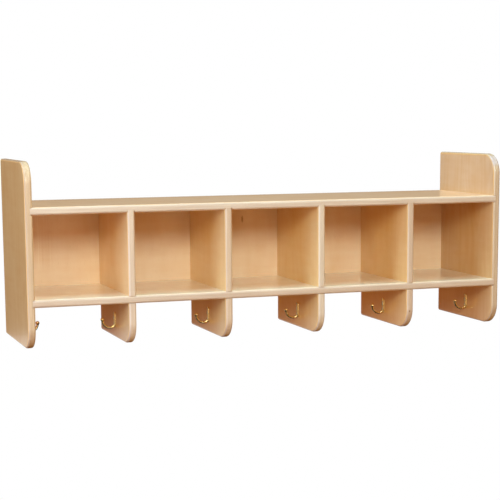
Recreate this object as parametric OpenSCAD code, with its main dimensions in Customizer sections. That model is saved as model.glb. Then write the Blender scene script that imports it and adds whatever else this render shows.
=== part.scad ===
// Wall-hung school locker: five open cubbies in a row, a shelf on top between
// two raised sides, and coat hooks on the walls of the open bays below.
//
// x = 0 is the middle of the width, y = 0 is the wall and the front faces -y,
// and z = 0 is the line of the wall-screw holes under the top shelf.

/* [Overall] */
// Width over the two sides
locker_w = 1219; // [1150:1:1300]
// Depth from the wall to the front edges
locker_d = 304.8; // [280:0.1:330]
// Height of the two sides
side_h = 435; // [425:1:460]
// How far the sides rise above the top shelf
side_rise = 104; // [90:0.5:110]
// Clear height inside a cubby
cubby_h = 195.5; // [180:0.5:200]

/* [Boards] */
// Thickness of the sides, shelves and dividers
board_t = 18; // [16:0.5:20]
// Thickness of the back panel
back_t = 15; // [9:0.5:16]
// Radius of the big front corners
corner_r = 50; // [40:1:60]
// Radius of the small rear corners
heel_r = 6; // [5.5:0.5:8]
// Round-over along the exposed edges
edge_r = 5; // [3:0.5:5]

/* [Joinery] */
// Depth of the grooves in the sides that hold the shelf ends
side_groove = 6; // [4:0.5:7]
// Depth of the grooves in the top shelf that hold the dividers
top_groove = 5; // [3:0.5:6]
// Width of the step in the sides that holds the back panel
back_step = 8; // [6:0.5:9]
// Diameter of a dowel
dowel_d = 8; // [6:0.5:9]
// Length of a dowel
dowel_l = 30; // [24:1:34]
// How far a dowel goes into the thinner wood past its groove
dowel_in = 8; // [6:0.5:8]

/* [Wall screws] */
// Distance between wall-screw holes, the usual spacing of wall studs
stud_pitch = 406.4; // [400:0.1:410]
// Diameter of the wall-screw holes
wall_hole_d = 5.5; // [4.5:0.1:6.5]
// Drop from the top shelf's underside to the wall-screw holes
wall_hole_drop = 10; // [8:0.5:14]

/* [Coat hooks] */
// Height of the hook's backplate
plate_h = 38; // [34:1:42]
// Width of the hook's backplate
plate_w = 13; // [12.5:0.5:14]
// Thickness of the hook's backplate at its crown
plate_t = 3; // [2.5:0.1:3.5]
// Thickness of the hook's backplate at its edges
plate_rim = 1.2; // [1:0.1:1.6]
// Diameter of the prong
prong_d = 5.8; // [5:0.1:5.8]
// Diameter of the ball on the prong's tip
ball_d = 9.4; // [8.6:0.1:9.6]
// Diameter of the boss that joins the prong to the backplate
boss_d = 6.8; // [6.7:0.1:6.9]
// Radius of the bend, along the middle of the prong
bend_r = 19; // [18.8:0.1:19.1]
// Distance from the front edge to the middle of the hooks
hook_inset = 142; // [120:1:160]
// Drop from the bottom shelf's underside to the middle of the hooks
hook_drop = 55.5; // [50:0.5:60]

/* [Small screws] */
// Diameter of the back panel's screws
back_screw_d = 3.5; // [3:0.1:4]
// Length of the back panel's screws
back_screw_l = 32; // [28:1:38]
// Diameter of the hook screws
hook_screw_d = 3; // [2.5:0.1:3.2]
// Length of the hook screws
hook_screw_l = 9.5; // [8:0.5:10]

/* [Hidden] */
$fn = 48;
cubbies = 5;
reach = 1;                                 // how far a cutter passes a face
wood = [0.87, 0.74, 0.55];
wood_edge = [0.91, 0.81, 0.66];
brass = [0.78, 0.6, 0.28];
steel = [0.7, 0.7, 0.72];

top_z = wall_hole_drop + board_t;          // top shelf's upper face
under_z = wall_hole_drop;                  // top shelf's underside
floor_z = under_z - cubby_h;               // bottom shelf's upper face
belly_z = floor_z - board_t;               // bottom shelf's underside
side_top = top_z + side_rise;
side_foot = side_top - side_h;
front_y = -locker_d;
inner_d = locker_d - back_t;               // depth of the shelves and dividers
inner_x = locker_w / 2 - board_t;          // inner face of a side
pitch = (locker_w - board_t) / cubbies;    // spacing of the upright boards
lap = inner_d / 2;                         // depth of each half of a cross lap
hook_y = front_y + hook_inset;
hook_z = belly_z - hook_drop;
shelf_end = inner_x + side_groove;
panel_end = inner_x + back_step;
divider_top = under_z + top_groove;
dowel_gap = 1;                             // glue space at the end of a dowel
dowel_y = [for (share = [0.17, 0.52, 0.87]) front_y + share * inner_d];
divider_dowel_y = [dowel_y[0], dowel_y[2]];
head_sink = 0.3;                           // a screw head sits this far below the face
plate_screw_z = [-2.5, 12.5];              // heights of the screws in a hook
screw_seat = 0.7;                          // how far their heads lie below the crown
bend_start = 240;                          // the bend runs from the boss to the ball
bend_sweep = 124;
bend_x = 12.2;                             // middle of the bend, out from the wall
boss_z = -15.5;
boss_l = 3;                                // height of the boss below its dome

// Middle of upright board i: 0 is the left side and 5 is the right side
function board_x(i) = (i - cubbies / 2) * pitch;

// ---- Rounded boards -------------------------------------------------------

// What a corner of radius r loses: the corner is at the origin, the wood is
// towards +x and +y
module corner_cut(r) {
  difference() {
    translate([-reach, -reach])
      square(r + reach);
    translate([r, r])
      circle(r);
  }
}

// Outline of an upright board: x runs back from the front edge, y runs up.
// The radii are front bottom, rear bottom, rear top and front top.
module outline(depth, height, radii) {
  difference() {
    square([depth, height]);
    corner_cut(radii[0]);
    translate([depth, 0])
      mirror([1, 0])
        corner_cut(radii[1]);
    translate([depth, height])
      rotate(180)
        corner_cut(radii[2]);
    translate([0, height])
      mirror([0, 1])
        corner_cut(radii[3]);
  }
}

// Round-over cutter along a straight edge that runs along +x from the origin,
// with the wood towards +y and +z
module straight_cut(length) {
  rotate([90, 0, 90])
    linear_extrude(length)
      corner_cut(edge_r);
}

// Round-over cutter round a corner of radius r, centred on the origin, from
// the -y direction to the +x direction
module bend_cut(r) {
  rotate(-90)
    rotate_extrude(angle = 90)
      translate([r, 0])
        mirror([1, 0])
          corner_cut(edge_r);
}

// Round-over of a whole outline, counter-clockwise from the bottom edge, on
// both faces. Each run is [x, y, turn, straight length, radius of the corner
// that follows it], and a radius of 0 means that no corner follows.
module rim_cut(runs) {
  for (face = [0, 1])
    translate([0, 0, face * board_t])
      mirror([0, 0, face])
        for (run = runs)
          translate([run[0], run[1], 0])
            rotate(run[2]) {
              straight_cut(run[3]);
              if (run[4] > 0)
                translate([run[3], run[4], 0])
                  bend_cut(run[4]);
            }
}

// Stands a board drawn in x (depth) and y (height) on edge, its middle at x
module stand(x, foot) {
  translate([x - board_t / 2, front_y, foot])
    rotate([90, 0, 90])
      children();
}

// ---- Places ---------------------------------------------------------------

// Puts its children at each dowel of the shelf ends, on the right (+x) side,
// with the dowel along x from its blind end in the side
module at_shelf_dowels() {
  for (z = [top_z - board_t / 2, floor_z - board_t / 2], y = dowel_y)
    translate([shelf_end + dowel_in, y, z])
      rotate([0, -90, 0])
        children();
}

// Puts its children at each dowel of divider i, with the dowel running down
// from its blind end in the top shelf
module at_divider_dowels(i) {
  for (y = divider_dowel_y)
    translate([board_x(i), y, divider_top + dowel_in])
      rotate([180, 0, 0])
        children();
}

// Puts its children at each screw of the back panel, with +z along the screw
// towards the front and the origin on the rear face
module at_back_screws() {
  mid_z = (under_z + floor_z) / 2;
  for (i = [0:cubbies - 1], z = [top_z - board_t / 2, floor_z - board_t / 2])
    translate([(board_x(i) + board_x(i + 1)) / 2, 0, z])
      rotate([90, 0, 0])
        children();
  for (i = [1:cubbies - 1])
    translate([board_x(i), 0, mid_z])
      rotate([90, 0, 0])
        children();
  for (side = [-1, 1], z = [mid_z - cubby_h / 4, mid_z + cubby_h / 4])
    translate([side * (inner_x + back_step / 2), 0, z])
      rotate([90, 0, 0])
        children();
}

// Puts its children at the hook on the wall that the face points out of:
// +z is out of the wall, +y is up, and the origin is the plate's middle
module at_hook(wall, face) {
  translate([board_x(wall) + face * board_t / 2, hook_y, hook_z])
    rotate([90, 0, face * 90])
      children();
}

// ---- Fasteners ------------------------------------------------------------

module dowel() {
  bevel = 1;
  rotate_extrude()
    polygon([
      [0, 0], [dowel_d / 2 - bevel, 0], [dowel_d / 2, bevel],
      [dowel_d / 2, dowel_l - bevel], [dowel_d / 2 - bevel, dowel_l], [0, dowel_l]
    ]);
}

module dowel_hole() {
  translate([0, 0, -dowel_gap])
    cylinder(d = dowel_d, h = dowel_l + 2 * dowel_gap);
}

// Countersunk wood screw that goes in along +z, its head just under the face.
// The same shape without its slots is the hole that it fills.
module screw_body(d, length) {
  rotate_extrude()
    polygon([
      [0, head_sink], [d, head_sink], [d / 2, head_sink + d / 2],
      [d / 2, length - d], [0, length]
    ]);
}

module screw_hole(d, length) {
  screw_body(d, length);
  translate([0, 0, -reach])
    cylinder(r = d, h = head_sink + reach);
}

module back_screw() {
  slot = 0.8;
  difference() {
    screw_body(back_screw_d, back_screw_l);
    for (turn = [0, 90])
      rotate(turn)
        translate([-back_screw_d * 0.6, -slot / 2, -reach])
          cube([back_screw_d * 1.2, slot, head_sink + reach + 1.2]);
  }
}

module hook_screw() {
  slot = 0.7;
  difference() {
    screw_body(hook_screw_d, hook_screw_l);
    translate([-hook_screw_d - reach, -slot / 2, -reach])
      cube([2 * (hook_screw_d + reach), slot, head_sink + reach + 0.8]);
  }
}

// Puts its children at both screws of a hook, with +z into the wall and the
// origin on the seat in the plate
module at_plate_screws() {
  for (y = plate_screw_z)
    translate([0, y, plate_t - screw_seat])
      rotate([180, 0, 0])
        children();
}

// ---- Sub-parts ------------------------------------------------------------

// The right side, in place: its wood is outside x = inner_x
module side_board() {
  radii = [corner_r, heel_r, heel_r, corner_r];
  difference() {
    stand(locker_w / 2 - board_t / 2, side_foot)
      difference() {
        linear_extrude(board_t)
          outline(locker_d, side_h, radii);
        rim_cut([
          [corner_r, 0, 0, locker_d - corner_r - heel_r, heel_r],
          [locker_d, heel_r, 90, side_h - 2 * heel_r, heel_r],
          [locker_d - heel_r, side_h, 180, locker_d - corner_r - heel_r, corner_r],
          [0, side_h - corner_r, 270, side_h - 2 * corner_r, corner_r]
        ]);
      }
    for (z = [under_z, belly_z])
      translate([inner_x - reach, front_y - reach, z])
        cube([side_groove + reach, inner_d + reach, board_t]);
    translate([inner_x - reach, -back_t, belly_z])
      cube([back_step + reach, back_t + reach, top_z - belly_z]);
    at_shelf_dowels()
      dowel_hole();
    at_back_screws()
      screw_hole(back_screw_d, back_screw_l);
    at_hook(cubbies, -1)
      at_plate_screws()
        screw_hole(hook_screw_d, hook_screw_l);
  }
}

module right_side() {
  color(wood)
    side_board();
}

module left_side() {
  color(wood)
    mirror([1, 0, 0])
      side_board();
}

// A shelf with its two front edges rounded, its upper face at z
module shelf_board(z) {
  difference() {
    translate([-shelf_end, front_y, z - board_t])
      cube([2 * shelf_end, inner_d, board_t]);
    translate([-shelf_end - reach, front_y, z - board_t])
      straight_cut(2 * (shelf_end + reach));
    translate([-shelf_end - reach, front_y, z])
      mirror([0, 0, 1])
        straight_cut(2 * (shelf_end + reach));
  }
}

// What both shelves lose to the dowels in their ends and the back screws
module shelf_drilling() {
  for (side = [0, 1])
    mirror([side, 0, 0])
      at_shelf_dowels()
        dowel_hole();
  at_back_screws()
    screw_hole(back_screw_d, back_screw_l);
}

module top_shelf() {
  color(wood_edge)
    difference() {
      shelf_board(top_z);
      for (i = [1:cubbies - 1]) {
        translate([board_x(i) - board_t / 2, front_y - reach, under_z - reach])
          cube([board_t, inner_d + 2 * reach, top_groove + reach]);
        at_divider_dowels(i)
          dowel_hole();
      }
      shelf_drilling();
    }
}

// The bottom shelf is slotted from behind and the dividers from the front, so
// they slide over each other in cross laps
module bottom_shelf() {
  color(wood_edge)
    difference() {
      shelf_board(floor_z);
      for (i = [1:cubbies - 1])
        translate([board_x(i) - board_t / 2, front_y + lap, belly_z - reach])
          cube([board_t, inner_d, board_t + 2 * reach]);
      shelf_drilling();
    }
}

module divider(i) {
  height = divider_top - side_foot;
  radii = [corner_r, heel_r, heel_r, corner_r];
  hidden_end = floor_z - board_t / 2 - side_foot;
  color(wood)
    difference() {
      stand(board_x(i), side_foot)
        difference() {
          linear_extrude(board_t)
            outline(inner_d, height + corner_r, radii);
          translate([-reach, height, -reach])
            cube([inner_d + 2 * reach, corner_r + reach, board_t + 2 * reach]);
          rim_cut([
            [corner_r, 0, 0, inner_d - corner_r - heel_r, heel_r],
            [inner_d, heel_r, 90, hidden_end - heel_r, 0],
            [0, height + reach, 270, height + reach - corner_r, corner_r]
          ]);
        }
      translate([board_x(i) - board_t / 2 - reach, front_y - reach, belly_z])
        cube([board_t + 2 * reach, lap + reach, board_t]);
      at_divider_dowels(i)
        dowel_hole();
      at_back_screws()
        screw_hole(back_screw_d, back_screw_l);
      for (face = [-1, 1])
        at_hook(i, face)
          at_plate_screws()
            screw_hole(hook_screw_d, hook_screw_l);
    }
}

module back_panel() {
  color(wood)
    difference() {
      translate([-panel_end, -back_t, belly_z])
        cube([2 * panel_end, back_t, top_z - belly_z]);
      for (i = [-1:1])
        translate([i * stud_pitch, reach, 0])
          rotate([90, 0, 0])
            cylinder(d = wall_hole_d, h = back_t + 2 * reach);
      at_back_screws()
        screw_hole(back_screw_d, back_screw_l);
    }
}

// Hook backplate: round-ended, its face a shallow crown from side to side
module hook_plate() {
  half_w = plate_w / 2;
  half_l = plate_h / 2 - half_w;
  drop = plate_t - plate_rim;
  crown_r = (half_w * half_w + drop * drop) / (2 * drop);
  intersection() {
    linear_extrude(plate_t + reach)
      union() {
        translate([-half_w, -half_l])
          square([plate_w, 2 * half_l]);
        for (end = [-1, 1])
          translate([0, end * half_l])
            circle(d = plate_w);
      }
    translate([0, -plate_h, plate_t - crown_r])
      rotate([-90, 0, 0])
        cylinder(r = crown_r, h = 2 * plate_h);
  }
}

// Boss on the plate that the prong grows from, domed, along +z
module hook_boss() {
  r = boss_d / 2;
  rotate_extrude()
    intersection() {
      union() {
        square([r, boss_l]);
        translate([0, boss_l])
          circle(r);
      }
      square([r, boss_l + r]);
    }
}

// Hook prong, in x (out of the wall) and y (up): a bend that dips and rises, and a
// ball on its end
module hook_prong() {
  translate([bend_x, 0, 0]) {
    rotate(bend_start)
      rotate_extrude(angle = bend_sweep)
        translate([bend_r, 0])
          circle(d = prong_d);
    rotate(bend_start + bend_sweep)
      translate([bend_r, 0, 0])
        sphere(d = ball_d);
  }
}

// One coat hook on upright board wall, on its right (+1) or left (-1) face
module coat_hook(wall, face) {
  color(brass)
    at_hook(wall, face)
      difference() {
        union() {
          hook_plate();
          translate([0, boss_z, 0])
            hook_boss();
          rotate([0, -90, 0])
            hook_prong();
        }
        at_plate_screws()
          screw_hole(hook_screw_d, hook_screw_l);
      }
}

// ---- Fastener groups ------------------------------------------------------

module hook_screws() {
  color(brass)
    for (i = [0:cubbies - 1], side = [0, 1])
      at_hook(i + side, 1 - 2 * side)
        at_plate_screws()
          hook_screw();
}

module shelf_dowels() {
  color(wood_edge)
    for (side = [0, 1])
      mirror([side, 0, 0])
        at_shelf_dowels()
          dowel();
}

module divider_dowels() {
  color(wood_edge)
    for (i = [1:cubbies - 1])
      at_divider_dowels(i)
        dowel();
}

module back_screws() {
  color(steel)
    at_back_screws()
      back_screw();
}

left_side();
right_side();
top_shelf();
bottom_shelf();
divider(1);  // divider_1
divider(2);  // divider_2
divider(3);  // divider_3
divider(4);  // divider_4
back_panel();
coat_hook(0, 1);  // bay_1_left_hook
coat_hook(1, -1);  // bay_1_right_hook
coat_hook(1, 1);  // bay_2_left_hook
coat_hook(2, -1);  // bay_2_right_hook
coat_hook(2, 1);  // bay_3_left_hook
coat_hook(3, -1);  // bay_3_right_hook
coat_hook(3, 1);  // bay_4_left_hook
coat_hook(4, -1);  // bay_4_right_hook
coat_hook(4, 1);  // bay_5_left_hook
coat_hook(5, -1);  // bay_5_right_hook
hook_screws();
shelf_dowels();
divider_dowels();
back_screws();
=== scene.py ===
"""Looks of the wall-hung school locker: lacquered birch plywood and brass coat hooks.

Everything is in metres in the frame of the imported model: x = 0 is the middle of the
width, y = 0 is the wall with the front towards -y, and z = 0 is the wall-screw line.
"""

import math
import random

import bmesh
import bpy
from mathutils import Matrix, Vector


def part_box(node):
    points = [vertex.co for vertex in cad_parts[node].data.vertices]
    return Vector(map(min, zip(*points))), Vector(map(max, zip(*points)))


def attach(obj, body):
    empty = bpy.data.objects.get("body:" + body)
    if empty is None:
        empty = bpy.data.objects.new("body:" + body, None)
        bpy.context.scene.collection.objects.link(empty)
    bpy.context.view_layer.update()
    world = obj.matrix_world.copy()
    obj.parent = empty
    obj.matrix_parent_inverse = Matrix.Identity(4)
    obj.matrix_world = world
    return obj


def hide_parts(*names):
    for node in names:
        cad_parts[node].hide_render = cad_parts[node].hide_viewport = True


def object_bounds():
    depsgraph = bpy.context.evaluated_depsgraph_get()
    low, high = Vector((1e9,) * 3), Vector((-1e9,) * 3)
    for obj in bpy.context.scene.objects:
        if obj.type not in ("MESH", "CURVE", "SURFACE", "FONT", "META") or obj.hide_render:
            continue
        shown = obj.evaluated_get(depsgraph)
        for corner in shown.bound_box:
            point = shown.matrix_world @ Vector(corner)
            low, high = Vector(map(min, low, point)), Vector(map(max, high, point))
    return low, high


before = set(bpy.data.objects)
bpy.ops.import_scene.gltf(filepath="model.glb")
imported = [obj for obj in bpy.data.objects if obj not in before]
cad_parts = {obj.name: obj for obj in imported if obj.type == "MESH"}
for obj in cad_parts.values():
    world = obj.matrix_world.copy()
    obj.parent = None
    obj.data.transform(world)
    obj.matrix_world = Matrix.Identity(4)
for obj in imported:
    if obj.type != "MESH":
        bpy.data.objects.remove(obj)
cad_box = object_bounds()

MM = 0.001

# ---- Camera -----------------------------------------------------------------

CAMERA_PLACE = (-1.2220, -3.5927, 0.2260)
CAMERA_YAW = 19.332        # degrees to the right of the wall's normal
CAMERA_PITCH = 9.093       # degrees down
CAMERA_ROLL = -0.395
CAMERA_LENS = 104.32       # mm, on a 36 mm sensor
CAMERA_SHIFT = 0.2


def add_camera():
    """The camera at the viewing angle of a catalogue picture, from the front left."""
    data = bpy.data.cameras.new("camera")
    data.sensor_width = 36
    data.lens = CAMERA_LENS
    data.shift_y = CAMERA_SHIFT
    data.clip_end = 60
    camera = bpy.data.objects.new("camera", data)
    turn = (Matrix.Rotation(math.radians(-CAMERA_YAW), 4, "Z")
            @ Matrix.Rotation(math.radians(90 - CAMERA_PITCH), 4, "X")
            @ Matrix.Rotation(math.radians(CAMERA_ROLL), 4, "Z"))
    camera.matrix_world = Matrix.Translation(CAMERA_PLACE) @ turn
    bpy.context.scene.collection.objects.link(camera)
    bpy.context.scene.camera = camera


# ---- Node graphs ------------------------------------------------------------

class Graph:
    """Short calls that add shader nodes to a tree and join them up."""

    def __init__(self, tree):
        self.tree = tree

    def put(self, kind, inputs=None, **settings):
        """Adds a node. inputs holds a value or an output socket for each input."""
        node = self.tree.nodes.new(kind)
        for name, value in settings.items():
            setattr(node, name, value)
        for key, value in (inputs or {}).items():
            if isinstance(value, bpy.types.NodeSocket):
                self.tree.links.new(value, node.inputs[key])
            else:
                node.inputs[key].default_value = value
        return node

    def coords(self):
        """The place in the frame, in metres: every object sits at the origin."""
        return self.put("ShaderNodeTexCoord").outputs["Object"]

    def split(self, vector):
        return self.put("ShaderNodeSeparateXYZ", {0: vector}).outputs

    def join(self, x, y, z):
        return self.put("ShaderNodeCombineXYZ", {0: x, 1: y, 2: z}).outputs[0]

    def math(self, operation, *values, clamp=False):
        node = self.put("ShaderNodeMath", dict(enumerate(values)), operation=operation,
                        use_clamp=clamp)
        return node.outputs[0]

    def vector(self, operation, *values):
        node = self.put("ShaderNodeVectorMath", dict(enumerate(values)), operation=operation)
        return node.outputs[0]

    def mix(self, factor, first, second, blend="MIX"):
        """Mixes two colours."""
        node = self.put("ShaderNodeMix", {0: factor, 6: first, 7: second}, data_type="RGBA",
                        blend_type=blend)
        return node.outputs[2]

    def multiply(self, color, factor):
        """Multiplies one colour by another."""
        return self.mix(1.0, color, factor, blend="MULTIPLY")

    def swing(self, value, amount):
        """Carries noise from 0..1 to a swing about zero, amount wide."""
        return self.math("MULTIPLY", self.math("SUBTRACT", value, 0.5), amount)

    def ramp(self, value, low, high, out_low=0.0, out_high=1.0, smooth=False):
        """Carries value from low..high to out_low..out_high, held at both ends."""
        node = self.put(
            "ShaderNodeMapRange",
            {"Value": value, "From Min": low, "From Max": high, "To Min": out_low,
             "To Max": out_high},
            interpolation_type="SMOOTHSTEP" if smooth else "LINEAR")
        return node.outputs[0]

    def noise(self, place, stretch, detail=2.0, roughness=0.5, distortion=0.0):
        """Noise from 0 to 1, with stretch the features per metre along x, y and z."""
        stretched = self.vector("MULTIPLY", place, stretch)
        node = self.put(
            "ShaderNodeTexNoise",
            {"Vector": stretched, "Scale": 1.0, "Detail": detail, "Roughness": roughness,
             "Distortion": distortion})
        return node.outputs["Fac"]


def new_material(name):
    """An empty node material and the graph to build it with."""
    material = bpy.data.materials.new(name)
    material.use_nodes = True
    material.node_tree.nodes.clear()
    return material, Graph(material.node_tree)


def finish_material(graph, inputs):
    """Adds the surface shader with these inputs and the output."""
    shader = graph.put("ShaderNodeBsdfPrincipled", inputs)
    graph.put("ShaderNodeOutputMaterial", {"Surface": shader.outputs[0]})


# ---- Plywood ----------------------------------------------------------------

FACE_VENEER = 0.9 * MM
VENEER_JOINT = 0.04 * MM   # over which the face veneer gives way to the core


def plywood_group():
    """Plywood as a solid texture. Place is in metres from the board's middle, with x
    along the face grain, y across it and z through the thickness."""
    tree = bpy.data.node_groups.new("plywood", "ShaderNodeTree")
    for name, kind in [("Place", "Vector"), ("Thickness", "Float"), ("Plies", "Float"),
                       ("Seed", "Float"), ("Figure", "Float"), ("Face pale", "Color"),
                       ("Face deep", "Color"), ("Core pale", "Color"), ("Core deep", "Color")]:
        tree.interface.new_socket(name, in_out="INPUT", socket_type="NodeSocket" + kind)
    for name, kind in [("Color", "Color"), ("Roughness", "Float"), ("Height", "Float")]:
        tree.interface.new_socket(name, in_out="OUTPUT", socket_type="NodeSocket" + kind)
    g = Graph(tree)
    given = g.put("NodeGroupInput").outputs
    shift = g.join(*(g.math("MULTIPLY", given["Seed"], share) for share in (3.7, 1.3, 0.31)))
    place = g.vector("ADD", given["Place"], shift)
    is_core, layer_number, glue = ply_layers(g, given)
    fibres = g.noise(place, (9, 850, 120), detail=3, roughness=0.6)
    flecks = g.noise(place, (70, 1300, 60), detail=1, roughness=0.3)
    face = face_veneer(g, given, place, fibres, flecks)
    core = core_plies(g, given, place, layer_number, glue)
    rough = g.ramp(fibres, 0.3, 0.7, 0.46, 0.56)
    rough = g.math("ADD", rough, g.math("MULTIPLY", is_core, 0.06))
    height = g.math("ADD", g.math("MULTIPLY", fibres, 0.6), g.math("MULTIPLY", flecks, -0.3))
    height = g.math("SUBTRACT", height, g.math("MULTIPLY", glue, 0.35))
    g.put("NodeGroupOutput", {"Color": g.mix(is_core, face, core), "Roughness": rough,
                              "Height": height})
    return tree


def ply_layers(g, given):
    """Counts the plies through the thickness. Gives 1 in the core and 0 in the face
    veneers, the number of the ply, and the glue lines between plies."""
    z = g.split(given["Place"])[2]
    half = g.math("MULTIPLY", given["Thickness"], 0.5)
    below_face = g.math("SUBTRACT", half, g.math("ABSOLUTE", z))
    is_core = g.ramp(below_face, FACE_VENEER, FACE_VENEER + VENEER_JOINT)
    core_thickness = g.math("SUBTRACT", given["Thickness"], 2 * FACE_VENEER)
    into_core = g.math("ADD", z, g.math("SUBTRACT", half, FACE_VENEER))
    layer = g.math("MULTIPLY", g.math("DIVIDE", into_core, core_thickness),
                   g.math("SUBTRACT", given["Plies"], 2.0))
    number = g.math("FLOOR", layer)
    in_layer = g.math("SUBTRACT", layer, number)
    to_joint = g.math("SUBTRACT", 0.5, g.math("ABSOLUTE", g.math("SUBTRACT", in_layer, 0.5)))
    glue = g.math("MULTIPLY", g.ramp(to_joint, 0.0, 0.09, 1.0, 0.0), is_core)
    return is_core, number, glue


def face_veneer(g, given, place, fibres, flecks):
    """Fine fibres, soft rotary-cut figure, broad clouds and small darker flecks."""
    bands = g.noise(place, (1.6, 70, 1), detail=3, roughness=0.55, distortion=0.4)
    clouds = g.noise(place, (7, 13, 1), detail=3, roughness=0.5, distortion=0.6)
    relief = g.noise(place, (1.5, 7, 1), detail=1.5, roughness=0.4, distortion=0.4)
    rings = g.math("SINE", g.math("MULTIPLY", relief, 90.0))
    cross_curl = g.noise(place, (65, 12, 1), detail=2, roughness=0.5)
    lines = g.math("ADD", g.swing(fibres, 0.85), g.swing(bands, 0.75))
    lines = g.math("ADD", lines, g.math("MULTIPLY", rings, 0.11))
    pattern = g.math("ADD", g.math("MULTIPLY", lines, given["Figure"]), 0.5)
    pattern = g.math("ADD", pattern, g.swing(clouds, 1.5))
    pattern = g.math("ADD", pattern, g.swing(cross_curl, 0.8), clamp=True)
    face = g.mix(pattern, given["Face deep"], given["Face pale"])
    fleck_here = g.math("MULTIPLY", g.ramp(flecks, 0.70, 0.80), 0.30)
    return g.mix(fleck_here, face, g.multiply(face, (0.55, 0.42, 0.30, 1)))


def core_plies(g, given, place, number, glue):
    """Plies with the grain along or across by turns, darker where it is cut across, and
    thin glue lines."""
    crossed = g.math("LESS_THAN", g.math("FLOORED_MODULO", number, 2.0), 0.5)
    x, y, z = g.split(place)
    along_fibre = g.noise(place, (14, 700, 700), detail=2, roughness=0.6)
    cross_fibre = g.noise(g.join(y, x, z), (14, 700, 700), detail=2, roughness=0.6)
    fibre = g.put("ShaderNodeMix", {0: crossed, 2: along_fibre, 3: cross_fibre},
                  data_type="FLOAT").outputs[0]
    ply_seed = g.math("ADD", g.math("MULTIPLY", number, 7.13), given["Seed"])
    ply_tone = g.put("ShaderNodeTexNoise", {"W": ply_seed, "Scale": 1.0},
                     noise_dimensions="1D").outputs[0]
    streaks = g.noise(place, (7, 190, 190), detail=2, roughness=0.5, distortion=0.3)
    shade = g.math("ADD", g.math("MULTIPLY", crossed, -0.42), 0.62)
    shade = g.math("ADD", shade, g.swing(fibre, 1.0))
    shade = g.math("ADD", shade, g.swing(streaks, 1.7))
    shade = g.math("ADD", shade, g.swing(ply_tone, 0.8), clamp=True)
    core = g.mix(shade, given["Core deep"], given["Core pale"])
    return g.mix(g.math("MULTIPLY", glue, 0.45), core, g.multiply(core, (0.42, 0.30, 0.20, 1)))


# For the direction of a board's thickness, the turn from the frame to the board's own
# grain, width and thickness. Upright boards have their grain up, the shelves along x.
BOARD_TURN = {"x": Matrix(((0, 0, 1), (0, 1, 0), (1, 0, 0))),
              "y": Matrix(((0, 0, 1), (1, 0, 0), (0, 1, 0))),
              "z": Matrix(((1, 0, 0), (0, 1, 0), (0, 0, 1)))}
PLIES = 13
BACK_PLIES = 9

FACE_PALE = (0.90, 0.59, 0.34)
FACE_DEEP = (0.84, 0.49, 0.24)
CORE_PALE = (0.84, 0.65, 0.51)
CORE_DEEP = (0.68, 0.49, 0.37)

STREAK_X = 14 * MM         # the back panel's mineral streak
STREAK_Z = -34 * MM
STREAK_HALF_WIDTH = 3 * MM
STREAK_HALF_LENGTH = 10 * MM
KNOT_Z = -258 * MM         # divider 4's pin knot

# Besides each board's own tone, these tints carry painted light and shade: they lift or lower whole
# boards to how brightly each is lit, most of all the bottom shelf, whose top is the cubby floors.
BOARDS = {   # direction of the thickness, strength of the figure, tint of the face, tint of the edge
    "left_side": ("x", 1.1, (1.1, 1.05, 0.73), (0.86, 0.81, 0.71)),
    "right_side": ("x", 1.3, (0.83, 0.80, 0.64), (0.83, 0.82, 0.76)),
    "divider_1": ("x", 0.6, (1, 1.02, 0.83), (0.98, 1.02, 1.07)),
    "divider_2": ("x", 0.6, (0.99, 1.02, 0.79), (0.92, 0.92, 0.91)),
    "divider_3": ("x", 0.6, (1, 1.04, 0.8), (0.98, 1.06, 1.12)),
    "divider_4": ("x", 0.8, (0.97, 0.95, 0.7), (0.9, 0.9, 0.91)),
    "top_shelf": ("z", 0.8, (1.09, 1.16, 1.48), (0.93, 0.99, 1.07)),
    "bottom_shelf": ("z", 0.8, (1.09, 1.53, 2.3), (0.9, 0.93, 0.98)),
    "back_panel": ("y", 0.35, (1.01, 1.12, 1.3), (1, 1, 1)),
}


def tinted(color, tint):
    """The colour times a tint, as the four numbers that a socket takes."""
    return tuple(channel * factor for channel, factor in zip(color, tint)) + (1.0,)


def board_place(g, turn, centre):
    """Board-local coordinates in metres, worked out from the frame's."""
    from_middle = g.vector("SUBTRACT", g.coords(), tuple(centre))
    rows = [g.put("ShaderNodeVectorMath", {0: from_middle, 1: tuple(row)},
                  operation="DOT_PRODUCT").outputs["Value"] for row in turn]
    return g.join(*rows)


def plywood(node, group, seed):
    """Lacquered plywood for one board, with its own knots and streaks, and the painted light and
    shade that its tints and the right side's paler top carry.
    """
    axis, figure, tint, edge_tint = BOARDS[node]
    low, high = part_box(node)
    material, g = new_material(node + "_birch")
    ply = g.put("ShaderNodeGroup", {
        "Place": board_place(g, BOARD_TURN[axis], (low + high) / 2),
        "Thickness": (high - low)["xyz".index(axis)],
        "Plies": BACK_PLIES if node == "back_panel" else PLIES,
        "Seed": seed,
        "Figure": figure,
        "Face pale": tinted(FACE_PALE, tint),
        "Face deep": tinted(FACE_DEEP, tint),
        "Core pale": tinted(CORE_PALE, edge_tint),
        "Core deep": tinted(CORE_DEEP, edge_tint)}, node_tree=group).outputs
    color = ply["Color"]
    # Marks on some boards, and painted light on the right side's raised end.
    if node in MARKS_AND_PAINTED_LIGHT:
        color = MARKS_AND_PAINTED_LIGHT[node](g, color)
    bump = g.put("ShaderNodeBump", {"Strength": 0.12, "Distance": 0.12 * MM, "Height": ply["Height"]})
    finish_material(g, {
        "Base Color": color, "Roughness": ply["Roughness"], "Normal": bump.outputs[0],
        "Specular IOR Level": 0.3, "Coat Weight": 1.0, "Coat Roughness": 0.14, "Coat IOR": 1.45})
    return material


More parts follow.
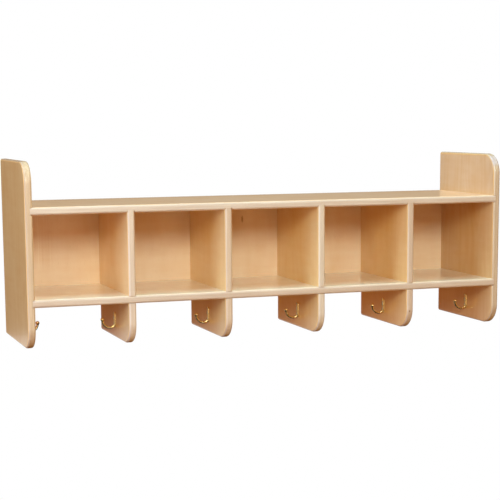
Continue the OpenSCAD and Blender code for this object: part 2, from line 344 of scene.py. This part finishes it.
def back_marks(g, color):
    """Marks on the back panel: fine pale and dull lines near the left end, and a short dark
    mineral streak high up in the middle cubby."""
    coords = g.coords()
    axes = g.split(coords)
    x = axes[0]
    z = axes[2]
    lines = g.noise(coords, (150, 1, 2.5), detail=1.5, roughness=0.5)
    # 1 in the left half of the first cubby, down to a little above its floor
    there = g.math("MULTIPLY", g.ramp(x, -0.600, -0.580, smooth=True),
                   g.ramp(x, -0.505, -0.475, 1.0, 0.0, smooth=True))
    there = g.math("MULTIPLY", there, g.ramp(z, -0.16, -0.12, smooth=True))
    pale = g.math("MULTIPLY", g.ramp(lines, 0.5, 0.72, smooth=True), there)
    dull = g.math("MULTIPLY", g.ramp(lines, 0.5, 0.3, smooth=True), there)
    color = g.mix(g.math("MULTIPLY", pale, 0.5), color, (0.95, 0.72, 0.50, 1))
    color = g.mix(g.math("MULTIPLY", dull, 0.3), color, (0.76, 0.44, 0.24, 1))
    waver = g.put("ShaderNodeTexNoise", {"W": z, "Scale": 160.0, "Detail": 2.0},
                  noise_dimensions="1D").outputs[0]
    across = g.math("ADD", g.math("SUBTRACT", x, STREAK_X), g.swing(waver, 4 * MM))
    across = g.math("DIVIDE", across, STREAK_HALF_WIDTH)
    along = g.math("DIVIDE", g.math("SUBTRACT", z, STREAK_Z), STREAK_HALF_LENGTH)
    distance = g.math("ADD", g.math("MULTIPLY", across, across), g.math("MULTIPLY", along, along))
    return g.mix(g.ramp(distance, 0.1, 1.3, 0.65, 0.0, smooth=True), color, (0.40, 0.15, 0.05, 1))


def painted_light_on_raised_end(g, color):
    """Painted light: the right side's faces get paler towards its top, above the top shelf, where its
    raised end catches more light.
    """
    low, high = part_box("right_side")
    axes = g.split(g.coords())
    y = axes[1]
    z = axes[2]
    # Rises on the faces towards the raised end, and stays 0 on its top and front edges
    there = g.math("MULTIPLY", g.ramp(z, 0.0, 0.05, smooth=True),
                   g.ramp(z, high.z - 8 * MM, high.z - 3 * MM, 1.0, 0.0))
    there = g.math("MULTIPLY", there, g.ramp(y, low.y + 3 * MM, low.y + 8 * MM))
    return g.mix(there, color, g.multiply(color, (0.94, 1.03, 1.4, 1)))


def pin_knot(g, color):
    """A pin knot in divider 4's front edge, below the bottom shelf."""
    low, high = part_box("divider_4")
    middle = ((low.x + high.x) / 2 - 1 * MM, low.y, KNOT_Z)
    stretched = g.vector("MULTIPLY", g.vector("SUBTRACT", g.coords(), middle), (1.0, 1.0, 0.6))
    distance = g.put("ShaderNodeVectorMath", {0: stretched}, operation="LENGTH").outputs["Value"]
    return g.mix(g.ramp(distance, 0.8 * MM, 2.4 * MM, 0.75, 0.0, smooth=True), color,
                 (0.20, 0.08, 0.03, 1))


# Divider 4's knot and the back panel's mineral streak are the wood's own; the right side's paler top
# is painted light.
MARKS_AND_PAINTED_LIGHT = {"back_panel": back_marks, "divider_4": pin_knot, "right_side": painted_light_on_raised_end}


def dress_boards():
    """Gives each board its own sheet of plywood."""
    group = plywood_group()
    dice = random.Random(11)
    for node in BOARDS:
        set_material(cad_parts[node], plywood(node, group, dice.uniform(0, 40)))


def set_material(piece, material):
    """Puts one material in all of a piece's slots."""
    if not piece.data.materials:
        piece.data.materials.append(material)
    for i in range(len(piece.data.materials)):
        piece.data.materials[i] = material


# ---- Metal and dowels -------------------------------------------------------

def brass(name, color, roughness):
    """Lacquered brass: faint tumbling marks and small patches of tarnish."""
    material, g = new_material(name)
    coords = g.coords()
    patches = g.noise(coords, (160, 160, 160), detail=3)
    tarnish = g.ramp(patches, 0.45, 0.75, smooth=True)
    base = g.mix(g.math("MULTIPLY", tarnish, 0.35), color + (1,), (0.52, 0.32, 0.10, 1))
    scratches = g.noise(coords, (900, 900, 2600), detail=2)
    rough = g.math("ADD", g.math("MULTIPLY", tarnish, 0.1),
                   g.ramp(scratches, 0.3, 0.7, roughness - 0.04, roughness + 0.05))
    bump = g.put("ShaderNodeBump", {"Strength": 0.1, "Distance": 0.05 * MM, "Height": scratches})
    finish_material(g, {"Base Color": base, "Metallic": 1.0, "Roughness": rough,
                        "Normal": bump.outputs[0]})
    return material


def zinc():
    """Zinc-plated steel, slightly blotchy."""
    material, g = new_material("zinc_plate")
    patches = g.noise(g.coords(), (500, 500, 500), detail=3)
    base = g.mix(patches, (0.50, 0.50, 0.51, 1), (0.70, 0.69, 0.66, 1))
    finish_material(g, {"Base Color": base, "Metallic": 1.0,
                        "Roughness": g.ramp(patches, 0.3, 0.7, 0.28, 0.45)})
    return material


def beech(name, axis):
    """Beech dowel with its fibres along axis."""
    material, g = new_material(name)
    stretch = [700, 700, 700]
    stretch["xyz".index(axis)] = 25
    fibres = g.noise(g.coords(), tuple(stretch), detail=3)
    base = g.mix(fibres, (0.52, 0.33, 0.18, 1), (0.74, 0.54, 0.35, 1))
    bump = g.put("ShaderNodeBump", {"Strength": 0.3, "Distance": 0.1 * MM, "Height": fibres})
    finish_material(g, {"Base Color": base, "Roughness": 0.6, "Normal": bump.outputs[0]})
    return material


def dress_fasteners():
    """Gives the screws and dowels their metals and wood."""
    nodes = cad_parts
    set_material(nodes["hook_screws"], brass("brass_screw", (0.78, 0.54, 0.22), 0.28))
    set_material(nodes["back_screws"], zinc())
    set_material(nodes["shelf_dowels"], beech("beech_dowel_across", "x"))
    set_material(nodes["divider_dowels"], beech("beech_dowel_up", "z"))


# ---- Coat hooks -------------------------------------------------------------

PLATE_HALF_W = 6.5 * MM
PLATE_HALF_L = 19 * MM
PLATE_END_STEPS = 24
PLATE_CROWN = 3.0 * MM     # thickness along the plate's middle line
PLATE_RIM = 1.2 * MM       # thickness along its long edges
PLATE_ROUND = 0.7 * MM     # rounding of its rim
SCREW_HEIGHTS = (-2.5 * MM, 12.5 * MM)         # from the plate's middle
SCREW_HOLE_R = 1.5 * MM
SCREW_HEAD_R = 3.0 * MM
SEAT_LOW = 0.5 * MM        # the seat's cone starts and ends this far from the board
SEAT_HIGH = 2.0 * MM
PRONG_R = 2.9 * MM
BALL_R = 4.7 * MM
BEND_R = 19 * MM
BEND_OUT = 12.2 * MM       # middle of the bend, out from the board
BEND_START = 240           # degrees, anticlockwise from straight out of the board
BEND_END = 364
SWELL = 0.5 * MM           # softness of the neck between prong and ball
BEND_STEPS = 56
BALL_STEPS = 14
BALL_CUT = 0.9995          # share of the ball's radius at which its last ring closes
ROUND_STEPS = 32
BOSS_HEIGHT = -15.5 * MM   # from the plate's middle
BOSS_R = 3.4 * MM
BOSS_FOOT = 0.4 * MM       # how far from the board the boss starts, inside the plate


def add_rings(bm, rings):
    """Skins closed rings of points, one after the other, and caps both ends."""
    loops = [[bm.verts.new(point) for point in ring] for ring in rings]
    count = len(loops[0])
    for lower, upper in zip(loops, loops[1:]):
        for i in range(count):
            j = (i + 1) % count
            bm.faces.new((lower[i], lower[j], upper[j], upper[i]))
    bm.faces.new(list(reversed(loops[0])))
    bm.faces.new(loops[-1])


def object_from(name, bm):
    """Turns a finished bmesh into an object."""
    bmesh.ops.recalc_face_normals(bm, faces=bm.faces)
    mesh = bpy.data.meshes.new(name)
    bm.to_mesh(mesh)
    bm.free()
    piece = bpy.data.objects.new(name, mesh)
    bpy.context.scene.collection.objects.link(piece)
    return piece


def plate_shell():
    """Backplate with round ends, a crown across its width and a soft rim. In all hook
    shells x points out of the board, y across the hook and z up."""
    def ring(inset, height):
        points = []
        radius = PLATE_HALF_W - inset
        run = PLATE_HALF_L - PLATE_HALF_W
        for end in (1, -1):
            for i in range(PLATE_END_STEPS + 1):
                angle = math.pi * i / PLATE_END_STEPS + (0 if end > 0 else math.pi)
                across = radius * math.cos(angle)
                up = end * run + radius * math.sin(angle)
                crown = PLATE_RIM + (PLATE_CROWN - PLATE_RIM) * (1 - (across / PLATE_HALF_W) ** 2)
                short = max(PLATE_ROUND - inset, 0)
                rounding = PLATE_ROUND - math.sqrt(PLATE_ROUND ** 2 - short ** 2)
                points.append(((crown - rounding) * height, across, up))
        return points

    rings = [ring(0, 0), ring(0, 0.8)]
    rings += [ring(PLATE_ROUND * (1 - math.cos(math.radians(a))), 1) for a in (8, 25, 45, 65, 90)]
    rings += [ring(PLATE_ROUND + share * (PLATE_HALF_W - PLATE_ROUND), 1)
              for share in (0.12, 0.28, 0.45, 0.62, 0.8, 0.985)]
    bm = bmesh.new()
    add_rings(bm, rings)
    return object_from("plate_shell", bm)


def round_ring(middle, radius, first, second):
    """Points of a circle in the plane of two directions."""
    angles = (2 * math.pi * i / ROUND_STEPS for i in range(ROUND_STEPS))
    return [middle + radius * (math.cos(a) * first + math.sin(a) * second) for a in angles]


def turned_shell(name, profile, height):
    """Turned solid that stands out of the board at a height. Its profile holds pairs of
    distance from the board and radius."""
    out = Vector((1, 0, 0))
    side = out.orthogonal().normalized()
    up = out.cross(side)
    foot = Vector((0, 0, height))
    bm = bmesh.new()
    add_rings(bm, [round_ring(foot + out * distance, radius, side, up)
                   for distance, radius in profile])
    return object_from(name, bm)


def prong_shell():
    """Prong swept along its bend, swelling smoothly into the ball at the tip."""
    start, end = math.radians(BEND_START), math.radians(BEND_END)
    tip = Vector((BEND_OUT + BEND_R * math.cos(end), 0, BEND_R * math.sin(end)))
    onward = Vector((-math.sin(end), 0, math.cos(end)))
    across = Vector((0, 1, 0))
    rings = []
    for i in range(BEND_STEPS + 1):
        angle = start + (end - start) * i / BEND_STEPS
        outward = Vector((math.cos(angle), 0, math.sin(angle)))
        ball = ball_radius((end - angle) * BEND_R)
        radius = (ball + PRONG_R + math.sqrt((ball - PRONG_R) ** 2 + SWELL ** 2)) / 2
        if ball > PRONG_R:
            radius = min(radius, BALL_R)
        middle = Vector((BEND_OUT, 0, 0)) + BEND_R * outward
        rings.append(round_ring(middle, radius, outward, across))
    outward = Vector((math.cos(end), 0, math.sin(end)))
    for i in range(1, BALL_STEPS + 1):
        beyond = BALL_R * math.sin(math.pi / 2 * i / BALL_STEPS) * BALL_CUT
        rings.append(round_ring(tip + beyond * onward, ball_radius(beyond), outward, across))
    bm = bmesh.new()
    add_rings(bm, rings)
    return object_from("prong_shell", bm)


def ball_radius(distance):
    """Radius of the ball's section at a distance from its middle."""
    return math.sqrt(max(BALL_R ** 2 - distance ** 2, 0))


def boss_shell():
    """Round foot of the prong, with a domed top."""
    dome = [math.radians(a) for a in (*range(10, 90, 10), 88)]
    profile = [(BOSS_FOOT, BOSS_R), (PLATE_CROWN, BOSS_R)]
    profile += [(PLATE_CROWN + BOSS_R * math.sin(a), BOSS_R * math.cos(a)) for a in dome]
    return turned_shell("boss_shell", profile, BOSS_HEIGHT)


def seat_shell(height):
    """Space for a countersunk screw: its seat and the sink above its head."""
    profile = [(-1 * MM, SCREW_HOLE_R), (SEAT_LOW, SCREW_HOLE_R), (SEAT_HIGH, SCREW_HEAD_R),
               (5 * MM, SCREW_HEAD_R)]
    return turned_shell("seat_shell", profile, height)


def combine(base, other, operation):
    """Boolean of two shells. The result replaces both."""
    modifier = base.modifiers.new("join", "BOOLEAN")
    modifier.object = other
    modifier.operation = operation
    modifier.solver = "EXACT"
    bpy.context.view_layer.update()
    shaped = bpy.data.meshes.new_from_object(
        base.evaluated_get(bpy.context.evaluated_depsgraph_get()))
    base.modifiers.clear()
    base.data = shaped
    bpy.data.objects.remove(other)


def hook_mesh():
    """The mesh that every hook is a copy of, smooth but for its true edges."""
    hook = plate_shell()
    combine(hook, boss_shell(), "UNION")
    combine(hook, prong_shell(), "UNION")
    for height in SCREW_HEIGHTS:
        combine(hook, seat_shell(height), "DIFFERENCE")
    mesh = hook.data
    bpy.data.objects.remove(hook)
    mesh.name = "hook"
    mesh.shade_smooth()
    mesh.set_sharp_from_angle(angle=math.radians(35))
    return mesh


def hang_hooks():
    """Puts a detailed hook in the place of each plain one."""
    mesh = hook_mesh()
    mesh.materials.clear()
    mesh.materials.append(brass("hook_brass", (0.88, 0.68, 0.33), 0.24))
    for name in sorted(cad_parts):
        if not name.endswith("_hook"):
            continue
        low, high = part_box(name)
        faces_right = name.endswith("left_hook")
        board_face = low.x if faces_right else high.x
        place = Vector((board_face, (low.y + high.y) / 2, high.z - PLATE_HALF_L))
        turn = Matrix.Rotation(0 if faces_right else math.pi, 4, "Z")
        placed = mesh.copy()
        placed.name = name + "_look"
        placed.transform(Matrix.Translation(place) @ turn)
        piece = bpy.data.objects.new(name + "_look", placed)
        bpy.context.scene.collection.objects.link(piece)
        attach(piece, "root")
        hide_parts(name)


# ---- Studio -----------------------------------------------------------------

FLOOR_DROP = 1.0           # the floor is this far below the locker's feet
FLOOR_HALF = 20            # half its width, and how far it runs in front of the wall face
FLOOR_REACH = 6.6          # its far edge is this far behind the wall face
FLOOR_SHINE = 0.65         # its brightness in the lacquer, far behind the wall face
SHINE_DEPTHS = (0.5, 3.0)  # where that brightness starts and where it is full
AMBIENT = (0.41, 0.17, 0.0)        # what lights the wood from all around
DARK_ROOM = (0.02, 0.015, 0.01)    # what shiny surfaces see beyond the lights, low down
WARM_ROOM = (0.29, 0.18, 0.11)     # and higher up
AIM = Vector((0, -0.15, -0.08))    # all lights point at the middle of the locker
LIGHTS = {                 # where it stands, its diameter, watts and colour
    "key": ((-0.7, -4.5, 1.5), 1.2, 115, (0.81, 1.0, 0.98)),
    "left": ((-2.4, -2.9, 1.0), 0.8, 22, (1.0, 0.92, 0.45)),
    "side": ((-3.2, -1.2, 0.5), 1.6, 92, (0.35, 0.59, 1.0)),
    "top": ((0, -0.6, 2.6), 2.0, 88, (0.57, 0.95, 1.0)),
    "front": ((-1.7, -5.1, 0.8), 6.6, 160, (1.0, 0.88, 0.62)),
    "behind": ((3.0, 2.4, -0.75), 0.8, 45, (1.0, 0.95, 0.88)),
}
ONLY_REFLECTED = ("front",)        # shows in brass and lacquer, without lighting the wood
NEVER_REFLECTED = ("side", "top", "behind")    # would glare in the lacquer or the brass


def add_studio():
    """White backdrop, pale floor, a soft key light and weaker fills. The camera, the wood
    and shiny surfaces each see a surround of their own."""
    scene = bpy.context.scene
    scene.view_settings.view_transform = "Standard"
    world = bpy.data.worlds.new("studio")
    world.use_nodes = True
    world.node_tree.nodes.clear()
    g = Graph(world.node_tree)
    path = g.put("ShaderNodeLightPath").outputs
    height = g.split(g.put("ShaderNodeTexCoord").outputs["Generated"])[2]
    room = g.mix(g.ramp(height, -0.03, 0.03), DARK_ROOM + (1,), WARM_ROOM + (1,))
    color = g.mix(path["Is Glossy Ray"], AMBIENT + (1,), room)
    color = g.mix(path["Is Camera Ray"], color, (1, 1, 1, 1))
    background = g.put("ShaderNodeBackground", {"Color": color, "Strength": 1.0})
    g.put("ShaderNodeOutputWorld", {"Surface": background.outputs[0]})
    scene.world = world
    add_floor()
    for name, (place, size, power, color) in LIGHTS.items():
        add_area_light(name, place, size, power, color)


def add_area_light(name, place, size, power, color):
    """A round soft light that the camera doesn't see."""
    data = bpy.data.lights.new(name, "AREA")
    data.shape = "DISK"
    data.size = size
    data.energy = power
    data.color = color
    light = bpy.data.objects.new(name, data)
    light.location = place
    light.rotation_euler = (AIM - Vector(place)).to_track_quat("-Z", "Y").to_euler()
    light.visible_camera = False
    light.visible_diffuse = name not in ONLY_REFLECTED
    light.visible_glossy = name not in NEVER_REFLECTED
    bpy.context.scene.collection.objects.link(light)


def add_floor():
    """A plain white floor, far enough down that the locker hangs clear of it. In the
    lacquer and brass only its far part shines, and it can't be seen from below."""
    z = cad_box[0].z - FLOOR_DROP
    corners = [(-FLOOR_HALF, -FLOOR_HALF, z), (FLOOR_HALF, -FLOOR_HALF, z),
               (FLOOR_HALF, FLOOR_REACH, z), (-FLOOR_HALF, FLOOR_REACH, z)]
    mesh = bpy.data.meshes.new("floor")
    mesh.from_pydata(corners, [], [(0, 1, 2, 3)])
    floor = bpy.data.objects.new("floor", mesh)
    bpy.context.scene.collection.objects.link(floor)
    material, g = new_material("floor_white")
    seen = g.put("ShaderNodeLightPath").outputs["Is Camera Ray"]
    depth = g.split(g.coords())[1]
    shine = g.ramp(depth, *SHINE_DEPTHS, 0.0, FLOOR_SHINE, smooth=True)
    glow = g.math("MAXIMUM", seen, shine)
    glowing = g.put("ShaderNodeEmission", {"Color": (1, 1, 1, 1), "Strength": glow})
    clear = g.put("ShaderNodeBsdfTransparent")
    from_below = g.put("ShaderNodeNewGeometry").outputs["Backfacing"]
    surface = g.put("ShaderNodeMixShader", {0: from_below, 1: glowing.outputs[0],
                                            2: clear.outputs[0]})
    g.put("ShaderNodeOutputMaterial", {"Surface": surface.outputs[0]})
    mesh.materials.append(material)
    floor.visible_diffuse = False
    floor.visible_shadow = False


add_camera()
add_studio()
dress_boards()
dress_fasteners()
hang_hooks()
